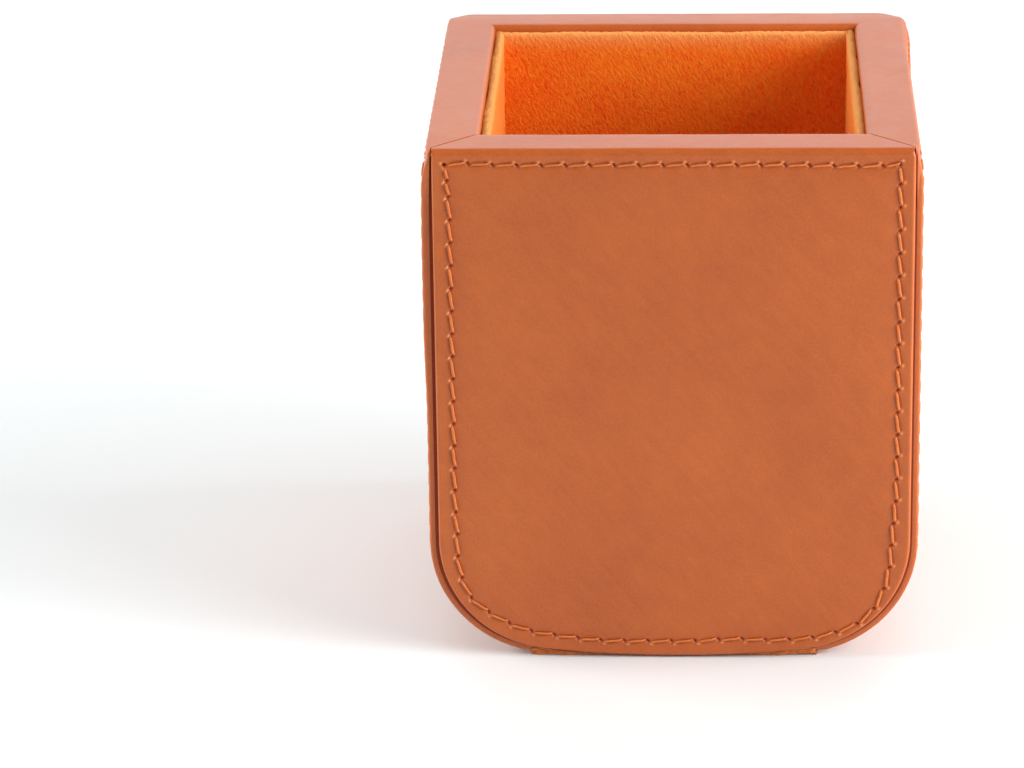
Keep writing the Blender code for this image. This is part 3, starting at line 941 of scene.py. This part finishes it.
def base_pad(material):
    piece = Piece()
    top = PAD_MAX[2]
    lift = pad_lift(pad_ring(0.0))
    rings = []
    for inset, share, fray in PAD_EDGE:
        ring = pad_ring(inset)
        curl = PAD_CURL * rising(ring[:, 0], PAD_CURL_FROM, PAD_CURL_REACH) * (lift > 0.0) * (inset < 1.0)
        points = np.column_stack([ring, share * (top + lift) + curl])
        tufts = sum(smooth_noise(points, size, seed) for size, seed in PAD_TUFTS)
        shake = PAD_FRAY * fray * tufts / 2
        at_edge = np.abs(ring) > PAD_MAX[:2] - PAD_FRAY_REACH
        points[:, :2] += at_edge * np.sign(ring) * (shake - PAD_FRAY_IN * fray)[:, None]
        points[:, 2] += PAD_FRAY_UP * fray * np.maximum(shake, 0.0) * share
        # painted light: the cut edge turns paler towards its top, its foot left darker
        rings.append(piece.line(points, edge=share))
    for inset in (PAD_BEHIND + 0.04, PAD_FRAY_REACH):
        rings.append(piece.line(stacked(*pad_ring(inset).T, top)))
    piece.skin(rings, closed=True)
    for last, height in ((rings[0], 0.0), (rings[-1], top)):
        line = piece.line(stacked(*pad_ring(3.0)[::COARSE].T, height))
        piece.join(last, line, closed=True)
        piece.fill(line)
    return piece.make("base_pad_suede_nap", material, ["base_pad_suede"])


# ---- materials ----
class Finish:
    """The nodes of one material. Texture coordinates are in millimetres of the row frame."""

    def __init__(self, name, colour, roughness):
        self.material = bpy.data.materials.new(name)
        self.material.use_nodes = True
        self.material.diffuse_color = colour
        self.tree = self.material.node_tree
        self.shader = self.tree.nodes["Principled BSDF"]
        self.fill(self.shader, {"Base Color": colour, "Roughness": roughness})
        self.place = self.stretched(self.node("TexCoord", {}, "Object"), (METRE, METRE, METRE))

    def fill(self, node, sockets):
        """Give each socket its number or colour, or link another node's output to it."""
        for words, value in sockets.items():
            if isinstance(value, bpy.types.NodeSocket):
                self.tree.links.new(value, node.inputs[words])
            else:
                node.inputs[words].default_value = value

    def node(self, kind, sockets, output=0, **settings):
        """The output of a new node with these sockets and settings."""
        node = self.tree.nodes.new("ShaderNode" + kind)
        for word, value in settings.items():
            setattr(node, word, value)
        self.fill(node, sockets)
        return node.outputs[output]

    def stretched(self, vector, scale, turn=(0.0, 0.0, 0.0)):
        """Coordinates turned by angles in degrees, then scaled along their new axes."""
        turn = [math.radians(angle) for angle in turn]
        vector = self.node("Mapping", {"Vector": vector, "Rotation": turn})
        return self.node("Mapping", {"Vector": vector, "Scale": scale})

    def noise(self, size, detail=3.0, roughness=0.5, vector=None, distortion=0.0):
        """Noise with features about size millimetres wide."""
        return self.node("TexNoise", {"Scale": 1.0 / size, "Detail": detail, "Roughness": roughness,
                                      "Distortion": distortion, "Vector": vector or self.place}, "Fac")

    def mark(self, name):
        return self.node("Attribute", {}, "Fac", attribute_name=name)

    def span(self, value, low, high, to_low=0.0, to_high=1.0):
        """Map a value from one range to another."""
        return self.node("MapRange", {"Value": value, "From Min": low, "From Max": high,
                                      "To Min": to_low, "To Max": to_high}, "Result")

    def sums(self, *terms):
        """Sum of (value, weight) terms."""
        total = 0.0
        for value, weight in terms:
            total = self.node("Math", {0: value, 1: weight, 2: total}, operation="MULTIPLY_ADD")
        return total

    def mix(self, share, low, high):
        """Mix of two colours, each a colour or another node's output."""
        return self.node("Mix", {0: share, 6: low, 7: high}, 2, data_type="RGBA")

    def bump(self, height, distance, strength=1.0, **under):
        """Surface direction over a relief that is distance millimetres high."""
        return self.node("Bump", {"Height": height, "Distance": distance / METRE,
                                  "Strength": strength, **under})

    def done(self, sockets):
        self.fill(self.shader, sockets)
        return self.material


def linear(red, green, blue):
    """A colour given as 0 to 255 on a screen, as the shader's linear values."""
    values = []
    for value in (red, green, blue):
        value /= 255.0
        values.append(value / 12.92 if value <= 0.04045 else ((value + 0.055) / 1.055) ** 2.4)
    return (*values, 1.0)


def smooth_leather(name, turn):
    """Vegetable-tanned calf: fine pores, soft clouds of colour and faint slanting marks."""
    base = linear(180, 84, 23)
    finish = Finish(name, base, 0.38)
    slanted = finish.stretched(finish.place, (1.0, 1.0, 0.22), turn)
    clouds = finish.noise(26.0, 3.0, 0.5)
    mottle = finish.noise(4.5, 3.0, 0.55, distortion=0.4)
    marks = finish.noise(1.6, 3.0, 0.55, vector=slanted)
    pores = finish.noise(0.42, 2.0, 0.6)
    wrinkles = finish.noise(1.1, 3.0, 0.6)
    shade = finish.sums((clouds, 0.3), (mottle, 0.17), (marks, 0.17), (pores, 0.36))
    colour = finish.mix(finish.span(shade, 0.34, 0.66), linear(167, 74, 15), linear(193, 95, 32))
    # paler colour of wear and painted highlight at cut edges and rim seams, and painted highlight on the
    # puckers
    wear_and_highlight = finish.span(finish.mark("edge"), 0.0, 1.0, 0.0, 0.7)
    colour = finish.mix(wear_and_highlight, colour, linear(230, 146, 88))
    # painted shade in slits, thread hollows and mitre seams
    colour = finish.mix(finish.mark("crease_shade"), colour, linear(156, 48, 4))
    rough = finish.span(finish.sums((mottle, 0.6), (pores, 0.4)), 0.3, 0.7, 0.33, 0.44)
    rough = finish.sums((rough, 1.0), (finish.mark("crease_shade"), 0.5))
    relief = finish.sums((pores, 0.5), (wrinkles, 0.35), (marks, 0.15))
    normal = finish.bump(relief, 0.04, 0.5)
    normal = finish.bump(mottle, 0.07, 0.3, Normal=normal)
    return finish.done({"Base Color": colour, "Roughness": rough, "Normal": normal})


def waxed_thread():
    base = linear(208, 110, 48)
    finish = Finish("waxed_stitch_thread", base, 0.6)
    fibre = finish.noise(0.12, 2.0, 0.6)
    patches = finish.noise(1.1, 2.0, 0.5)
    shade = finish.sums((fibre, 0.5), (patches, 0.5))
    colour = finish.mix(finish.span(shade, 0.3, 0.7), linear(196, 96, 36), linear(222, 126, 62))
    # painted shade at a stitch's ends, down in the slits
    colour = finish.mix(finish.mark("crease_shade"), colour, linear(150, 48, 4))
    rough = finish.span(fibre, 0.3, 0.7, 0.52, 0.72)
    normal = finish.bump(fibre, 0.03, 0.5)
    return finish.done({"Base Color": colour, "Roughness": rough, "Normal": normal,
                        "Specular IOR Level": 0.3, "Sheen Weight": 0.12, "Sheen Roughness": 0.5})


def brushed_suede(name, base, deep, pale, fuzz_and_painted_light, turn):
    """Suede whose nap lies in streaks, darker where it was stroked down. fuzz_and_painted_light colours
    its edges: paler ruffled nap with painted sheen on a lining's top edge, painted light on the pad's
    upper cut edge.
    """
    finish = Finish(name, base, 0.95)
    combed = finish.stretched(finish.place, (1.0, 1.0, 0.45), turn)
    streaks = finish.noise(0.48, 3.0, 0.6, vector=combed, distortion=0.5)
    tufts = finish.noise(0.5, 2.0, 0.6, distortion=0.8)
    fibre = finish.noise(0.16, 2.0, 0.7)
    stroked = finish.noise(11.0, 3.0, 0.55)
    shade = finish.sums((streaks, 0.42), (tufts, 0.18), (fibre, 0.24), (stroked, 0.16))
    colour = finish.mix(finish.span(shade, 0.4, 0.6), deep, pale)
    # paler ruffled nap with painted sheen, and painted light on the pad's cut edge
    colour = finish.mix(finish.mark("edge"), colour, fuzz_and_painted_light)
    relief = finish.sums((streaks, 0.6), (tufts, 0.22), (fibre, 0.18))
    normal = finish.bump(relief, 1.0, 1.0)
    return finish.done({"Base Color": colour, "Normal": normal, "Specular IOR Level": 0.15,
                        "Sheen Weight": 0.65, "Sheen Roughness": 0.5, "Sheen Tint": linear(255, 196, 118)})


def pressed_board(name, base, pale, fleck):
    """Board or card pressed from paper fibre."""
    finish = Finish(name, base, 0.9)
    fibre = finish.noise(fleck, 4.0, 0.7, distortion=1.2)
    layers = finish.noise(0.35, 2.0, 0.5, vector=finish.stretched(finish.place, (0.1, 1.0, 1.0)))
    shade = finish.sums((fibre, 0.6), (layers, 0.4))
    colour = finish.mix(finish.span(shade, 0.3, 0.7), base, pale)
    rough = finish.span(fibre, 0.3, 0.7, 0.8, 0.98)
    normal = finish.bump(shade, 0.06, 0.7)
    return finish.done({"Base Color": colour, "Roughness": rough, "Normal": normal})


# ---- studio ----
# Soft lamps, all aimed at the cup: place, width and height, and watts
LAMPS = {
    "key_right": ((1000.0, -150.0, 380.0), (700.0, 500.0), 11.4),
    "key_front_right": ((470.0, -270.0, 340.0), (360.0, 300.0), 2.35),
    "fill_front_left": ((-900.0, -500.0, 300.0), (600.0, 400.0), 0.4),
    "fill_left": ((-1100.0, 60.0, 500.0), (800.0, 700.0), 13.6),
    "back_high": ((0.0, 1500.0, 1000.0), (2400.0, 700.0), 5.9),
    "back_low": ((0.0, 1600.0, 420.0), (2600.0, 500.0), 5.7),
}
ROOM_LIGHT = 0.365     # strength of the white light from all round


def studio():
    world = bpy.data.worlds.new("white_room")
    world.use_nodes = True
    background = world.node_tree.nodes["Background"]
    background.inputs["Color"].default_value = (1.0, 1.0, 1.0, 1.0)
    background.inputs["Strength"].default_value = ROOM_LIGHT
    bpy.context.scene.world = world
    bpy.context.scene.view_settings.view_transform = "Standard"
    aim = Vector((0.0, 0.0, HEIGHT / 2))
    for name, (place, size, watts) in LAMPS.items():
        light = bpy.data.lights.new(name, "AREA")
        light.shape = "RECTANGLE"
        light.size, light.size_y = (side / METRE for side in size)
        light.energy = watts
        ob = added(name, light)
        ob.location = Vector(place) / METRE
        ob.rotation_mode = "QUATERNION"
        ob.rotation_quaternion = (Vector(place) - aim).to_track_quat("Z", "Y")


def white_floor():
    """A plain pale sweep for the cup to stand on."""
    half = 3000.0
    mesh = bpy.data.meshes.new("studio_floor")
    corners = [(-half, -half, 0.0), (half, -half, 0.0), (half, half, 0.0), (-half, half, 0.0)]
    mesh.from_pydata([Vector(corner) / METRE for corner in corners], [], [(0, 1, 2, 3)])
    finish = Finish("pale_floor", (0.81, 0.857, 0.86, 1.0), 0.42)
    mesh.materials.append(finish.material)
    added("studio_floor", mesh)


CAMERA_PLACE = (5.665, -854.025, 356.111)
CAMERA_YAW = -0.0431820  # to the right of straight ahead, in radians
CAMERA_PITCH = 0.3566977  # down
CAMERA_ROLL = -0.0151333
CAMERA_LENS = 166.77


def camera():
    data = bpy.data.cameras.new("photo_camera")
    data.lens = CAMERA_LENS
    data.sensor_width = 36.0
    data.clip_start = 0.01
    data.clip_end = 50.0
    ob = added("photo_camera", data)
    aimed = Euler((math.pi / 2 - CAMERA_PITCH, 0.0, -CAMERA_YAW)).to_matrix()
    turn = aimed @ Matrix.Rotation(CAMERA_ROLL, 3, "Z")
    ob.matrix_world = Matrix.Translation(Vector(CAMERA_PLACE) / METRE) @ turn.to_4x4()
    bpy.context.scene.camera = ob


# ---- the cup ----
def repaint(word, material):
    """Give the CAD nodes with a word in their name a better material."""
    for name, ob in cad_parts.items():
        if word in name and not ob.hide_render:
            for slot in ob.material_slots:
                slot.material = material


def build():
    panel_hide = smooth_leather("panel_calf_leather", (0.0, 40.0, 0.0))
    band_hide = smooth_leather("band_calf_leather", (30.0, 0.0, 0.0))
    thread = waxed_thread()
    # the last colour is paler nap with painted sheen for the lining's top edges
    suede = brushed_suede("orange_lining_suede", linear(254, 112, 10), linear(250, 86, 2),
                          linear(255, 142, 26), linear(255, 164, 88), (0.0, 28.0, 0.0))
    # the last colour paints light onto the pad's upper cut edge
    pad_suede = brushed_suede("orange_pad_suede", linear(214, 104, 50), linear(188, 80, 32),
                              linear(236, 132, 76), linear(222, 128, 72), (0.0, 90.0, 0.0))
    board = pressed_board("grey_core_board", linear(150, 128, 104), linear(190, 170, 142), 0.5)
    backing = pressed_board("dyed_backing_board", linear(126, 42, 10), linear(150, 58, 20), 0.4)
    card = pressed_board("lining_card", linear(168, 164, 156), linear(200, 196, 188), 0.3)
    repaint("board", board)
    repaint("backing", backing)
    repaint("card", card)

    row = panel_row()
    for word, quarters in FRONT_BACK:
        panel(word, quarters, row, panel_hide)
        panel_backing(word, quarters, backing)
        sewn_thread(word + "_panel_thread", row, on_panel, quarters, thread)
    row = band_row()
    band(row, band_hide)
    for word, quarters in LEFT_RIGHT:
        sewn_thread("side_band_" + word + "_thread", row, on_band, quarters, thread)
    for walls, half in ((LEFT_RIGHT, LONG_LINING_MAX[1]), (FRONT_BACK, SHORT_LINING_MAX[0])):
        for word, quarters in walls:
            lining_wall(word, quarters, half, suede)
    lining_floor(suede)
    base_pad(pad_suede)


build()
white_floor()
studio()
camera()
